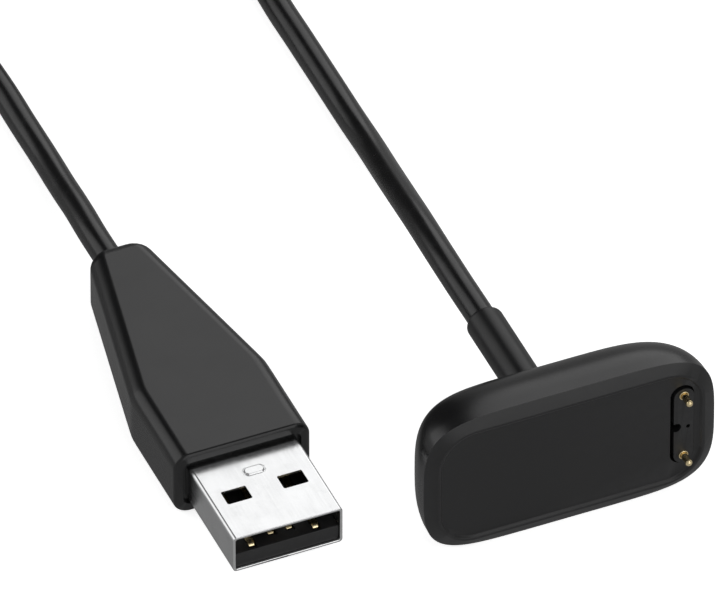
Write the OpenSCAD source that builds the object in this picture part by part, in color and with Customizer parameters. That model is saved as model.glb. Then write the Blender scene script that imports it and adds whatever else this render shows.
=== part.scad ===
// Charging lead for a fitness tracker: a magnetic head with two spring contacts,
// a thin round cable and a type-A plug.
// +X runs along the head towards its contacts, -Y is the side that meets the tracker, +Z is up.
// The head stands on z = 0, and the origin is under the middle of the head and its strain relief.

/* [Head] */
// Width of the head at its rim
head_w = 32; // [30:0.5:36]
// Height of the head at its rim
head_h = 17.2; // [16:0.2:20]
// Depth of the domed rear shell behind the rim
head_d = 8.8; // [8.6:0.1:11]
// Wall thickness of the rear shell
head_wall = 1.2; // [1:0.1:1.3]
// How far the bezel stands in front of the rim
bezel_rise = 0.7; // [0.4:0.05:1]
// How far the bezel narrows from the rim to its crest
bezel_in = 1.3; // [1:0.05:1.6]
// Depth of the front panel below the crest of the bezel
panel_drop = 0.25; // [0.2:0.05:0.5]

/* [Contacts] */
// Distance of the contacts from the middle of the head
pin_x = 12.4; // [11.8:0.1:12.6]
// Distance between the two contacts
pin_gap = 8; // [7:0.1:8.2]
// Diameter of a plunger
pin_d = 0.78; // [0.7:0.02:0.84]
// Travel of a plunger
pin_travel = 1.1; // [0.8:0.05:1.1]
// Width of the slot round the contacts
slot_w = 2.6; // [2.4:0.1:2.8]

/* [Strain relief] */
// Diameter of the sleeve behind the head
relief_d = 4; // [3.6:0.1:4.6]
// Distance from the rim of the head to the end of the sleeve
relief_end = 21.8; // [18:0.1:24]

/* [Cable] */
// Diameter of the cable
cable_d = 3; // [2.6:0.1:3]
// Mean diameter of the stored coil
coil_mean_d = 33; // [32:0.5:36]

/* [Plug] */
// Width of the grip
grip_w = 15; // [14:0.1:16]
// Thickness of the grip
grip_h = 7.6; // [7.2:0.1:8.4]
// Length of the grip
grip_len = 33.7; // [30:0.1:38]
// Length of the grip before it starts to taper
grip_straight = 11.3; // [10.5:0.1:14]
// Width of the steel shell, as the type-A standard has it
shell_w = 12; // [11.9:0.05:12.1]
// Height of the steel shell, as the type-A standard has it
shell_h = 4.5; // [4.4:0.05:4.6]
// Length of the steel shell in front of the grip
shell_out = 11.8; // [11.5:0.1:12]
// Thickness of the steel sheet
shell_t = 0.3; // [0.25:0.05:0.35]

/* [Hidden] */
$fn = 48;
gap = 0.03;                        // fitting gap between pieces that are assembled together
cut = 1;                           // how far a cutting shape runs past the face it cuts

// Head: places along the depth are measured back from the rim plane
rim_y = -9.8;
head_z = head_h / 2;
cable_z = 8.9;
dome_side = 8.5;                   // how far the dome narrows in width by its back face
dome_top = 6.9;                    // how far the dome narrows in height by its back face
dome_power = 2.2;
dome_rings = 11;
rim_power = [6, 3.4];              // how square the rim is across its width and its height
crest_w = 0.25;                    // width of the flat crest of the bezel
lip_d = 1.2;                       // depth of the plate that fits inside the shell
lip_gap = 0.12;                    // gap round that plate, where the shell starts to narrow
panel_y = panel_drop - bezel_rise;
moat_y = 0.9;                      // bottom of the groove along two sides of the contacts' island
slot_half = 3.85;                  // half the distance between the centres of the slot's round ends
slot_shift = [-0.15, 0.15];        // middle of the slot, across and up from the middle of the pins
island_r = 1.1;
island_half = 3.83;
island_shift = [0.05, -0.13];
key_hole = [-0.8, -0.2, 1.08];     // place across and up from the middle of the pins, and diameter
vent_hole = [0.52, -0.35, 0.45];
board_y = 3.7;
board_t = 0.8;
cable_in_y = 5.2;                  // where the jacket ends inside the head
flange_y = 6.2;
flange_t = 0.8;
flange_d = 6;
boss_d = 7.2;
shoulder_r = 0.5;                  // rounding at the end of the strain relief

// Contacts
neck_d = 1.05;
barrel_d = 1.3;
barrel_y = [-0.63, 0.85, board_y]; // front of the neck, front of the body, back
neck_bore = pin_d + 0.06;
barrel_bore = 1;
tail_d = 0.45;
tail_y = board_y + board_t + 0.25;
tip_proud = 0.47;                  // what still stands out of the neck when a plunger is pressed in
tip_y = barrel_y[0] - pin_travel - tip_proud;
collar_d = 0.92;
collar_len = 0.5;
spring_wire = 0.1;
spring_turns = 6;
spring_d = 0.86;

// Plug: places along its depth are measured back from the front of the steel shell
plug_pos = [-29.1, -5.7, grip_h / 2];
grip_round = 1.75;
grip_taper = 0.2;                  // narrowing on each side for each unit of length
grip_front_round = 0.4;
grip_back_round = 2.2;
grip_end = shell_out + grip_len;
step_in = 0.4;                     // width of the sunk step round the shell
step_d = 0.5;
shell_end = 19;
shell_corner = 0.4;
window_x = [1.73, 4.43];
window_y = [5.03, 7.03];
tongue_end = 17;
tongue_front = 0.3;
tongue_top = -0.2;                 // height of the tongue's upper face over the middle of the shell
tongue_chamfer = 0.25;
contact_w = 0.8;
contact_t = 0.25;
contact_x = [-3.5, -1, 1, 3.5];
contact_front = [1.1, 2.05, 2.05, 1.1];
contact_end = 20.5;
mould_y = [19.1, 29];
mould_size = [11, 5.4];
core_y = 32;                       // where the jacket ends inside the grip
clamp_y = [33, 36];
clamp_d = 4.2;
wire_room = [8.4, 1.4];            // width and height of the space for the cores

// Coil: it lies behind the head on the same surface
coil_pos = [-12.4, 109, 0];
coil_turns = 3.75;                 // turns in each of the two layers
coil_pitch = cable_d + 0.1;
coil_in = coil_mean_d / 2 - coil_turns * coil_pitch / 2 - cable_d / 2;
coil_out = coil_mean_d / 2 + coil_turns * coil_pitch / 2 + cable_d / 2;
coil_h = 2 * cable_d + 0.1;
tie_w = 5;
tie_t = 0.6;

// Route of the cable from the head to the coil, and from the plug to the coil
head_route = [
    [0, -4.6, 8.9], [0, 4, 8.9], [0, 12, 8.9], [0, 18, 8.8], [0.2, 24, 8.4],
    [0.7, 30, 7.4], [1.4, 36, 5.8], [2.2, 42, 4], [2.9, 48, 2.5], [3.2, 54, 1.7],
    [3.3, 60, 1.5], [3.3, 67, 1.5], [3.3, 74, 1.5], [3.6, 79, 1.5], [4.5, 84, 1.5],
    [6.1, 90, 1.5], [7.9, 96, 1.5], [9.3, 102, 1.5], [9.9, 109, 1.5]
];
plug_route = [
    [-29.1, 26.3, 3.8], [-29.1, 33, 3.8], [-29.1, 39.8, 3.8], [-29.1, 45, 3.7],
    [-28.8, 50, 3.2], [-28.5, 55, 2.4], [-28.2, 60, 1.8], [-28.1, 66, 1.5],
    [-28.1, 73, 1.5], [-28.5, 79, 1.6], [-29.6, 85, 2], [-31.2, 91, 2.8],
    [-33, 97, 3.8], [-34.2, 103, 4.4], [-34.7, 109, 4.5]
];

// Routes of the cores inside the head and inside the grip
head_core_r = 0.4;
head_core_z = 0.55;
plug_core_r = 0.4;

// ---- Helpers ----

function unit(v) = v / norm(v);

// Outline in X and Z of a soft rectangle, with its power along each axis
function soft_outline(w, h, px, pz, n = 48) = [
    for (i = [0:n - 1])
        let (c = cos(360 * i / n), s = sin(360 * i / n))
        [w / 2 * sign(c) * pow(abs(c), 2 / px), h / 2 * sign(s) * pow(abs(s), 2 / pz)]
];

// Outline in X and Z of a rectangle with round corners
function round_outline(w, h, r, n = 5) = [
    for (corner = [0:3], i = [0:n])
        let (a = 90 * corner + 90 * i / n,
             sx = corner == 0 || corner == 3 ? 1 : -1,
             sz = corner < 2 ? 1 : -1)
        [sx * (w / 2 - r) + r * cos(a), sz * (h / 2 - r) + r * sin(a)]
];

function at_y(outline, y) = [for (p = outline) [p[0], y, p[1]]];

// Solid through a list of rings that all have the same number of points
module skin(rings) {
    n = len(rings[0]);
    last = len(rings) - 1;
    polyhedron(
        points = [for (ring = rings) each ring],
        faces = [
            [for (i = [n - 1:-1:0]) i],
            for (k = [0:last - 1], i = [0:n - 1])
                let (a = k * n + i, b = k * n + (i + 1) % n)
                each [[a, b, a + n], [b, b + n, a + n]],
            [for (i = [0:n - 1]) last * n + i]
        ],
        convexity = 6
    );
}

// Round tube along a path; up must never be parallel to the path
module tube(path, r, sides = 8, up = [0, 0, 1]) {
    last = len(path) - 1;
    skin([
        for (i = [0:last])
            let (t = unit(path[min(i + 1, last)] - path[max(i - 1, 0)]),
                 side = unit(cross(t, up)),
                 top = cross(side, t))
            [for (k = [0:sides - 1])
                let (a = 360 * (k + 0.5) / sides)
                path[i] + r * cos(a) * side + r * sin(a) * top]
    ]);
}

// Cylinder along +Y from y0 to y1
module rod(d, y0, y1) {
    translate([0, y0, 0]) rotate([-90, 0, 0]) cylinder(d = d, h = y1 - y0);
}

// Rectangle with round corners in X and Z, extruded along +Y from y0 to y1
module round_block(w, h, r, y0, y1) {
    translate([0, y1, 0]) rotate([90, 0, 0]) linear_extrude(height = y1 - y0) {
        square([w - 2 * r, h], center = true);
        square([w, h - 2 * r], center = true);
        for (sx = [-1, 1], sz = [-1, 1])
            translate([sx * (w / 2 - r), sz * (h / 2 - r)]) circle(r = r);
    }
}

// Upright slot shape with round ends, from y0 to y1
module upright_slot(r, half, y0, y1) {
    translate([0, y1, 0]) rotate([90, 0, 0]) linear_extrude(height = y1 - y0) {
        square([2 * r, 2 * half], center = true);
        for (s = [-1, 1]) translate([0, s * half]) circle(r = r);
    }
}

module in_head(z = head_z) {
    translate([0, rim_y, z]) children();
}

module at_pin(side) {
    in_head() translate([pin_x, 0, side * pin_gap / 2]) children();
}

module in_slot() {
    translate([slot_shift[0], 0, slot_shift[1]]) children();
}

module in_plug() {
    translate(plug_pos) children();
}

// ---- Head ----

// Domed body behind the rim, smaller all round by inset, and starting at y = front
module dome(inset, front = 0) {
    depth = head_d - inset;
    narrow = 2 * depth / head_d;
    skin([
        for (k = [0:dome_rings])
            let (a = 90 * k / dome_rings,
                 shrink = 1 - pow(cos(a), 2 / dome_power),
                 y = k == 0 ? front : depth * pow(sin(a), 2 / dome_power))
            at_y(soft_outline(head_w - 2 * inset - dome_side * shrink * narrow,
                              head_h - 2 * inset - dome_top * shrink * narrow,
                              rim_power[0] - 2 * shrink, rim_power[1] - 0.8 * shrink), y)
    ]);
}

// Outline of the rim at y, smaller all round by inset
function rim_ring(inset, y) =
    at_y(soft_outline(head_w - 2 * inset, head_h - 2 * inset, rim_power[0], rim_power[1]), y);

module head_rear_shell() {
    color("#1c1c1e") in_head() difference() {
        dome(0);
        difference() {
            dome(head_wall, -cut);
            translate([0, 0, cable_z - head_z]) rod(boss_d, flange_y + flange_t + gap, head_d);
        }
        translate([0, 0, cable_z - head_z]) rod(relief_d + 2 * gap, flange_y, head_d + cut);
    }
}

module head_face_plate() {
    lip_in = head_wall + lip_gap;
    crest_in = bezel_in + crest_w;
    color("#202022") in_head() difference() {
        union() {
            skin([rim_ring(bezel_in, -bezel_rise), rim_ring(0, 0)]);
            skin([rim_ring(lip_in, panel_y + 0.1), rim_ring(lip_in, lip_d)]);
        }
        skin([rim_ring(crest_in, -bezel_rise - cut), rim_ring(crest_in, -bezel_rise),
              rim_ring(crest_in + panel_drop, panel_y)]);
        translate([pin_x, 0, 0]) in_slot() upright_slot(slot_w / 2, slot_half, -cut, lip_d + cut);
    }
}

module pin_carrier() {
    color("#161617") in_head() translate([pin_x, 0, 0]) difference() {
        union() {
            intersection() {
                translate([island_shift[0], 0, island_shift[1]])
                    upright_slot(island_r, island_half, panel_y, lip_d);
                in_slot() upright_slot(slot_w / 2 - gap, slot_half, panel_y - cut, lip_d + cut);
            }
            in_slot() upright_slot(slot_w / 2 - gap, slot_half, moat_y, board_y - gap);
            in_slot() upright_slot(slot_w / 2 + 0.2, slot_half, lip_d + gap, lip_d + 0.8);
        }
        for (side = [-1, 1]) translate([0, 0, side * pin_gap / 2]) {
            rod(neck_d + gap, -cut, 1.5);
            rod(barrel_d + gap, barrel_y[1] - gap, board_y + cut);
        }
        for (hole = [key_hole, vent_hole])
            translate([hole[0], 0, hole[1]]) rod(hole[2], panel_y - cut, lip_d);
    }
}

module pogo_barrel(side) {
    color("#c9a44a") at_pin(side) difference() {
        union() {
            rod(neck_d, barrel_y[0], barrel_y[1]);
            rod(barrel_d, barrel_y[1], barrel_y[2]);
            rod(tail_d, barrel_y[2], tail_y);
        }
        rod(neck_bore, barrel_y[0] - cut, barrel_y[1]);
        rod(barrel_bore, barrel_y[1], barrel_y[2] - 0.25);
    }
}

module pogo_plunger(side) {
    tip_r = pin_d / 2;
    collar_front = barrel_y[1] + gap;
    color("#e3bd5c") at_pin(side) rotate([-90, 0, 0]) rotate_extrude() union() {
        translate([0, tip_y + tip_r]) square([tip_r, collar_front - tip_y - tip_r]);
        translate([0, collar_front]) square([collar_d / 2, collar_len]);
        translate([0, tip_y + tip_r]) intersection() {
            circle(r = tip_r);
            translate([0, -tip_r]) square([tip_r, tip_r]);
        }
    }
}

module pogo_spring(side) {
    front = barrel_y[1] + 2 * gap + collar_len + spring_wire / 2;
    back = barrel_y[2] - 0.25 - gap - spring_wire / 2;
    steps = 12 * spring_turns;
    color("#b8bcc2") at_pin(side) tube([
        for (i = [0:steps])
            let (a = 30 * i)
            [(spring_d - spring_wire) / 2 * cos(a), front + (back - front) * i / steps,
             (spring_d - spring_wire) / 2 * sin(a)]
    ], spring_wire / 2, 5, [0, 1, 0]);
}

module circuit_board() {
    color("#1f5b3a") in_head() difference() {
        translate([9.7, 0, 0]) round_block(6.4, 9.2, 0.8, board_y, board_y + board_t);
        for (side = [-1, 1]) translate([pin_x, 0, side * pin_gap / 2])
            rod(tail_d + 2 * gap, board_y - cut, board_y + board_t + cut);
    }
}

module magnet(x) {
    color("#9a9ca0") in_head() translate([x, 0, 0])
        round_block(6, 8, 0.4, lip_d + gap, lip_d + 2);
}

module magnet_yoke() {
    color("#a8abb0") in_head() translate([-1.8, 0, 0])
        round_block(21.6, 5, 0.5, lip_d + 2 + gap, lip_d + 2.4);
}

module cable_anchor() {
    color("#c4c7cb") in_head(cable_z) difference() {
        rod(clamp_d, cable_in_y, flange_y - gap);
        rod(cable_d + 2 * gap, cable_in_y - cut, flange_y + cut);
    }
}

module head_wire(side) {
    color(side > 0 ? "#b3261e" : "#1a1a1a") in_head() tube([
        [0, cable_in_y - gap, cable_z - head_z + side * head_core_z],
        [0.1, 4.9, cable_z - head_z + side * head_core_z],
        [0.8, 4.65, 0.3 + side * 0.7],
        [2.2, 4.65, side * 1.3],
        [4.5, 4.8, side * 2],
        [6.4, 5.2, side * 2.5],
        [7.8, 5.4, side * 2.8],
        [8.7, 5.3, side * 2.8],
        [8.9, 5.1, side * 2.8],
        [8.9, board_y + board_t + gap, side * 2.8]
    ], head_core_r, 8);
}

module strain_relief() {
    color("#1a1a1c") in_head(cable_z) difference() {
        union() {
            rod(flange_d, flange_y, flange_y + flange_t);
            rotate([-90, 0, 0]) rotate_extrude() union() {
                translate([0, flange_y]) square([relief_d / 2, relief_end - shoulder_r - flange_y]);
                translate([0, flange_y]) square([relief_d / 2 - shoulder_r, relief_end - flange_y]);
                translate([relief_d / 2 - shoulder_r, relief_end - shoulder_r]) circle(r = shoulder_r);
            }
        }
        rod(cable_d + gap, flange_y - cut, relief_end + cut);
    }
}

// ---- Cable ----

module cable_head_lead() {
    color("#1b1b1d") tube(head_route, cable_d / 2);
}

module cable_plug_lead() {
    color("#1b1b1d") tube(plug_route, cable_d / 2);
}

module cable_coil() {
    color("#1b1b1d") translate(coil_pos) rotate_extrude() difference() {
        translate([coil_in, 0]) square([coil_out - coil_in, coil_h]);
        for (x = [coil_in, coil_out], z = [0, coil_h])
            translate([x, z]) rotate(45) square(cable_d / 3, center = true);
    }
}

module coil_tie() {
    band = coil_out - coil_in;
    color("#141415") translate(coil_pos) translate([-tie_w / 2, coil_in, 0]) difference() {
        translate([0, -tie_t, 0]) cube([tie_w, band + 2 * tie_t, coil_h + 2 * tie_t]);
        translate([-cut, 0, tie_t]) cube([tie_w + 2 * cut, band, coil_h]);
    }
}

// ---- Plug ----

// Outline of the grip at a distance back from the front of the shell, smaller all round by inset
function grip_ring(y, inset) =
    let (w = grip_w - 2 * grip_taper * max(0, y - shell_out - grip_straight) - 2 * inset,
         h = grip_h - 2 * inset)
    at_y(round_outline(w, h, max(0.3, grip_round - inset / 2)), y);

module plug_overmould() {
    color("#1e1e20") in_plug() difference() {
        skin([
            for (a = [0, 45, 90])
                grip_ring(shell_out + grip_front_round * (1 - cos(a)), grip_front_round * (1 - sin(a))),
            grip_ring(shell_out + grip_straight, 0),
            for (a = [0:22.5:90])
                grip_ring(grip_end - grip_back_round * (1 - sin(a)), grip_back_round * (1 - cos(a)))
        ]);
        round_block(shell_w + 2 * step_in, shell_h + 2 * step_in, shell_corner + step_in / 2,
                    shell_out - cut, shell_out + step_d);
        round_block(shell_w + 2 * gap, shell_h + 2 * gap, shell_corner, shell_out, mould_y[0]);
        round_block(mould_size[0] + 2 * gap, mould_size[1] + 2 * gap, 0.5, mould_y[0] - gap, mould_y[1]);
        rod(clamp_d + 2 * gap, mould_y[1] - cut, clamp_y[1] + gap);
        rod(cable_d + gap, clamp_y[1], grip_end + cut);
    }
}

module plug_inner_mould() {
    color("#d8d4c8") in_plug() difference() {
        round_block(mould_size[0], mould_size[1], 0.5, mould_y[0], mould_y[1] - gap);
        for (x = contact_x) translate([x, 0, tongue_top + gap - contact_t / 2])
            round_block(contact_w + 2 * gap, contact_t + 2 * gap, 0.05, mould_y[0] - cut, contact_end + gap);
        translate([-wire_room[0] / 2, contact_end - cut, -0.3])
            cube([wire_room[0], mould_y[1], wire_room[1]]);
    }
}

module plug_shell() {
    color("#d6d8da") in_plug() difference() {
        union() {
            round_block(shell_w, shell_h, shell_corner, 0, shell_end);
            for (s = [-1, 1]) translate([0, 8.8, s * shell_h / 2])
                cylinder(d = 2, h = 0.2, center = true, $fn = 8);
        }
        round_block(shell_w - 2 * shell_t, shell_h - 2 * shell_t, shell_corner - shell_t / 2,
                    -cut, shell_end + cut);
        for (s = [-1, 1]) translate([s * (window_x[0] + window_x[1]) / 2, (window_y[0] + window_y[1]) / 2, 0])
            cube([window_x[1] - window_x[0], window_y[1] - window_y[0], shell_h + 2 * cut], center = true);
    }
}

module plug_tongue() {
    w = shell_w - 2 * shell_t - 2 * gap;
    h = shell_h / 2 - shell_t - gap + tongue_top;
    color("#19191a") in_plug() translate([0, 0, tongue_top]) difference() {
        translate([0, 0, -h / 2]) round_block(w, h, shell_corner, tongue_front, tongue_end);
        translate([-w, tongue_front, -tongue_chamfer]) rotate([45, 0, 0]) cube([2 * w, cut, cut]);
        for (i = [0:3]) translate([contact_x[i] - contact_w / 2 - gap, contact_front[i] - gap, -contact_t])
            cube([contact_w + 2 * gap, tongue_end, contact_t + cut]);
    }
}

module plug_contact(i) {
    nose_y = contact_front[i] + contact_w / 2;
    color("#dcb95e") in_plug() translate([contact_x[i], 0, tongue_top + gap - contact_t]) {
        translate([-contact_w / 2, nose_y, 0]) cube([contact_w, contact_end - nose_y, contact_t]);
        translate([0, nose_y, 0]) cylinder(d = contact_w, h = contact_t);
    }
}

module plug_cable_clamp() {
    color("#c4c7cb") in_plug() difference() {
        rod(clamp_d, clamp_y[0], clamp_y[1]);
        rod(cable_d + 2 * gap, clamp_y[0] - cut, clamp_y[1] + cut);
    }
}

module plug_wire(side) {
    color(side > 0 ? "#b3261e" : "#1a1a1a") in_plug() tube([
        [side * 3.5, contact_end + gap, 0.15],
        [side * 3.5, 22.5, 0.15],
        [side * 2.6, 25, 0.15],
        [side * 1.3, 27.5, 0.15],
        [side * 0.8, 29.5, 0.1],
        [side * 0.7, core_y - gap, 0]
    ], plug_core_r, 8);
}

head_rear_shell();
head_face_plate();
pin_carrier();
pogo_barrel(1);  // pogo_barrel_upper
pogo_barrel(-1);  // pogo_barrel_lower
pogo_plunger(1);  // pogo_plunger_upper
pogo_plunger(-1);  // pogo_plunger_lower
pogo_spring(1);  // pogo_spring_upper
pogo_spring(-1);  // pogo_spring_lower
circuit_board();
magnet(5);  // magnet_pin_end
magnet(-9.5);  // magnet_far_end
magnet_yoke();
cable_anchor();
head_wire(1);  // head_wire_red
head_wire(-1);  // head_wire_black
strain_relief();
cable_head_lead();
cable_coil();
coil_tie();
cable_plug_lead();
plug_overmould();
plug_inner_mould();
plug_shell();
plug_tongue();
plug_contact(0);  // plug_contact_1
plug_contact(1);  // plug_contact_2
plug_contact(2);  // plug_contact_3
plug_contact(3);  // plug_contact_4
plug_cable_clamp();
plug_wire(1);  // plug_wire_red
plug_wire(-1);  // plug_wire_black
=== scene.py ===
import math

import bmesh
import bpy
from mathutils import Matrix, Vector


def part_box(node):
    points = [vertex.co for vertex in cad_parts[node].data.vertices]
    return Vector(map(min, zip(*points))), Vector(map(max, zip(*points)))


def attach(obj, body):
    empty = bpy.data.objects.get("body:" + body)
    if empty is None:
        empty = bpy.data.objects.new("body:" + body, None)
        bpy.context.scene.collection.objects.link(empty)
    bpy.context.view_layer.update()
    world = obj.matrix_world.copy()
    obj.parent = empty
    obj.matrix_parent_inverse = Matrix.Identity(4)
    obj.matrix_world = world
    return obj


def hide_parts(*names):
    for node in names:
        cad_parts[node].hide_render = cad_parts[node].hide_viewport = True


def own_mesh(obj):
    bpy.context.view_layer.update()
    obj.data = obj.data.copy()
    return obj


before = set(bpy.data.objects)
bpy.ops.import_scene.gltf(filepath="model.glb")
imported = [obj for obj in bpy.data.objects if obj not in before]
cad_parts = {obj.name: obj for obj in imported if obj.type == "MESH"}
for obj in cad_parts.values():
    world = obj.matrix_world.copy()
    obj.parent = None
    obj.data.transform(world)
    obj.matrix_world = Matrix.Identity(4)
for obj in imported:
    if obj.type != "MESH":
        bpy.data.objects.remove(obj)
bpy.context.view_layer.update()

mm = 0.001
leadBody = "lead"

# places that everything is built from
shellLow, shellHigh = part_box("head_rear_shell")
barrelLow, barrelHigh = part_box("pogo_barrel_upper")
reliefLow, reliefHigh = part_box("strain_relief")
gripLow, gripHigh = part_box("plug_overmould")
steelLow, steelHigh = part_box("plug_shell")
coilLow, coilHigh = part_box("cable_coil")
headMid = (shellLow + shellHigh) / 2
plugMid = (gripLow + gripHigh) / 2
coilMid = (coilLow + coilHigh) / 2
reliefMid = (reliefLow + reliefHigh) / 2
headOrigin = Vector((headMid.x, shellLow.y, headMid.z))      # middle of the rim
reliefOrigin = Vector((reliefMid.x, shellLow.y, reliefMid.z))
plugOrigin = Vector((plugMid.x, steelLow.y, plugMid.z))      # middle of the steel shell's mouth
pinX = (barrelLow.x + barrelHigh.x) / 2 / mm
pinZ = ((barrelLow.z + barrelHigh.z) / 2 - headMid.z) / mm


# camera and cable come first, so that the room the cable takes is known early
view = {
    "lookAt": Vector((-0.00651, 0.02919, 0.0)),
    "azimuth": -23.16,
    "elevation": 41.38,
    "lens": 1250.0,
    "widthSeen": 0.07274,      # metres across the frame where it is in focus
    "nearer": 0.015,
}


def setCamera(look):
    azimuth, elevation = math.radians(look["azimuth"]), math.radians(look["elevation"])
    back = Vector((math.sin(azimuth) * math.cos(elevation),
                   -math.cos(azimuth) * math.cos(elevation), math.sin(elevation)))
    lens = bpy.data.cameras.new("leadCamera")
    lens.lens = look["lens"]
    lens.sensor_width = 36
    lens.clip_start = 0.1
    distance = look["widthSeen"] * lens.lens / lens.sensor_width + look["nearer"]
    camera = bpy.data.objects.new("leadCamera", lens)
    bpy.context.scene.collection.objects.link(camera)
    camera.location = look["lookAt"] + back * distance
    camera.rotation_mode = "QUATERNION"
    camera.rotation_quaternion = (-back).to_track_quat("-Z", "Y")
    bpy.context.scene.camera = camera
    print("camera is", round(distance, 3), "m away")


setCamera(view)

cable = {
    "diameter": 0.003,
    "length": 0.96,
    "turns": 3.75,             # in each of the two layers
    "perTurn": 16,
    "meanRadius": 0.0165,
    "pitch": 0.0031,
    "layerZ": (0.0015, 0.00455),
    "tieLift": 0.0006,         # the tie goes under the coil and lifts it a little
    "tieReach": 0.06,
    "headRoute": [
        (0, -0.0046, 0.0089), (0, 0.004, 0.0089), (0, 0.012, 0.0089), (0, 0.018, 0.0088),
        (0.0002, 0.024, 0.0084), (0.0007, 0.03, 0.0074), (0.0014, 0.036, 0.0058),
        (0.0022, 0.042, 0.004), (0.0029, 0.048, 0.0025), (0.0032, 0.054, 0.0017),
        (0.0033, 0.06, 0.0015), (0.0033, 0.067, 0.0015), (0.0033, 0.074, 0.0015),
        (0.0036, 0.079, 0.0015), (0.0045, 0.084, 0.0015), (0.0061, 0.09, 0.0015),
        (0.0079, 0.096, 0.0015), (0.0093, 0.102, 0.0015)],
    "plugRoute": [
        (-0.0342, 0.103, 0.0044), (-0.033, 0.097, 0.0038), (-0.0312, 0.091, 0.0028),
        (-0.0296, 0.085, 0.002), (-0.0285, 0.079, 0.0016), (-0.0281, 0.073, 0.0015),
        (-0.0281, 0.066, 0.0015), (-0.0282, 0.06, 0.0018), (-0.0285, 0.055, 0.0024),
        (-0.0288, 0.05, 0.0032), (-0.0291, 0.045, 0.0037), (-0.0291, 0.0398, 0.0038),
        (-0.0291, 0.033, 0.0038), (-0.0291, 0.0263, 0.0038)],
}


def coilRoute(look):
    # winds in along the lower layer, climbs at the middle and winds out along the upper one
    low, high = look["layerZ"]
    swing = look["turns"] * look["pitch"] / 2
    steps = round(look["turns"] * look["perTurn"])
    route = []
    for i in range(2 * steps + 1):
        share = i / steps
        turns = share * look["turns"]
        radius = look["meanRadius"] + swing * abs(2 * (share - 1)) - swing
        climb = min(1, max(0, (turns - look["turns"] + 0.25) / 0.5))
        fromTie = (turns - 0.25 + 0.5) % 1 - 0.5
        z = low + (high - low) * climb + look["tieLift"] * math.exp(-(fromTie / look["tieReach"]) ** 2)
        angle = 2 * math.pi * turns
        route.append((coilMid.x + radius * math.cos(angle), coilMid.y + radius * math.sin(angle), z))
    return route


def layTube(name, route, radius, smoothness, roundness):
    # a smooth curve through the route, made a mesh; gives the piece and the line that it follows
    line = bpy.data.curves.new(name, "CURVE")
    line.dimensions = "3D"
    spline = line.splines.new("BEZIER")
    spline.bezier_points.add(len(route) - 1)
    for point, place in zip(spline.bezier_points, route):
        point.co = place
        point.handle_left_type = point.handle_right_type = "AUTO"
    line.resolution_u = smoothness
    holder = bpy.data.objects.new(name, line)
    centre = [tuple(v.co) for v in holder.to_mesh().vertices]
    holder.to_mesh_clear()
    line.bevel_depth = radius
    line.bevel_resolution = roundness
    line.use_fill_caps = True
    mesh = bpy.data.meshes.new_from_object(holder)
    bpy.data.objects.remove(holder)
    bpy.data.curves.remove(line)
    bm = bmesh.new()
    bm.from_mesh(mesh)
    bmesh.ops.remove_doubles(bm, verts=bm.verts, dist=radius * 0.001)
    bmesh.ops.recalc_face_normals(bm, faces=bm.faces)
    bm.to_mesh(mesh)
    bm.free()
    mesh.name = name
    mesh.shade_smooth()
    mesh.set_sharp_from_angle(angle=math.radians(40))
    piece = bpy.data.objects.new(name, mesh)
    bpy.context.scene.collection.objects.link(piece)
    return piece, centre


cableRoute = cable["headRoute"] + coilRoute(cable) + cable["plugRoute"]
chargeCable, cableLine = layTube("chargeCable", cableRoute, cable["diameter"] / 2, 8, 5)
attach(chargeCable, leadBody)
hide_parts("cable_head_lead", "cable_coil", "cable_plug_lead")
print("cable laid,", len(cableRoute), "points,", len(chargeCable.data.polygons), "faces")


# pieces are drawn in millimetres, with their depth along +Y, then put in place in metres
def softRing(width, height, bows, y):
    # soft rectangle whose sides bow out, the outline of the domed housing
    def place(turn):
        c, s = math.cos(turn), math.sin(turn)
        x = math.copysign(width / 2 * abs(c) ** (2 / bows[0]), c)
        z = math.copysign(height / 2 * abs(s) ** (2 / bows[1]), s)
        return Vector((x, y, z))
    return place


def roundRing(width, height, radius, y, x=0.0, z=0.0):
    # rectangle with round corners
    def place(turn):
        c, s = math.cos(turn), math.sin(turn)
        return Vector((x + math.copysign(width / 2 - radius, c) + radius * c, y,
                       z + math.copysign(height / 2 - radius, s) + radius * s))
    return place


def circleRing(radius, y, x=0.0, z=0.0):
    return roundRing(2 * radius, 2 * radius, radius, y, x, z)


def onlyVerts(geom):
    return [g for g in geom if isinstance(g, bmesh.types.BMVert)]


def onlyEdges(geom, verts):
    inside = set(verts)
    return [g for g in geom if isinstance(g, bmesh.types.BMEdge) and set(g.verts) <= inside]


def loft(bm, rings, count):
    # a circle is laid on the first ring, then extruded from ring to ring; gives the first and last loops
    turnOf = bm.verts.layers.float.get("turn") or bm.verts.layers.float.new("turn")
    verts = bmesh.ops.create_circle(bm, segments=count, radius=1)["verts"]
    edges = list({e for v in verts for e in v.link_edges})
    for v in verts:
        v[turnOf] = math.atan2(v.co.y, v.co.x) + math.pi / count
    firstEdges = edges
    for i, ring in enumerate(rings):
        if i:
            geom = bmesh.ops.extrude_edge_only(bm, edges=edges)["geom"]
            verts = onlyVerts(geom)
            edges = onlyEdges(geom, verts)
        for v in verts:
            v.co = ring(v[turnOf])
    return firstEdges, edges


def loftRound(bm, rings, count):
    # the last ring is joined back to the first, which closes a hollow body
    loft(bm, rings + rings[:1], count)
    bmesh.ops.remove_doubles(bm, verts=bm.verts, dist=1e-5)


def capLoop(bm, edges):
    bmesh.ops.holes_fill(bm, edges=edges, sides=0)


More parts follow.
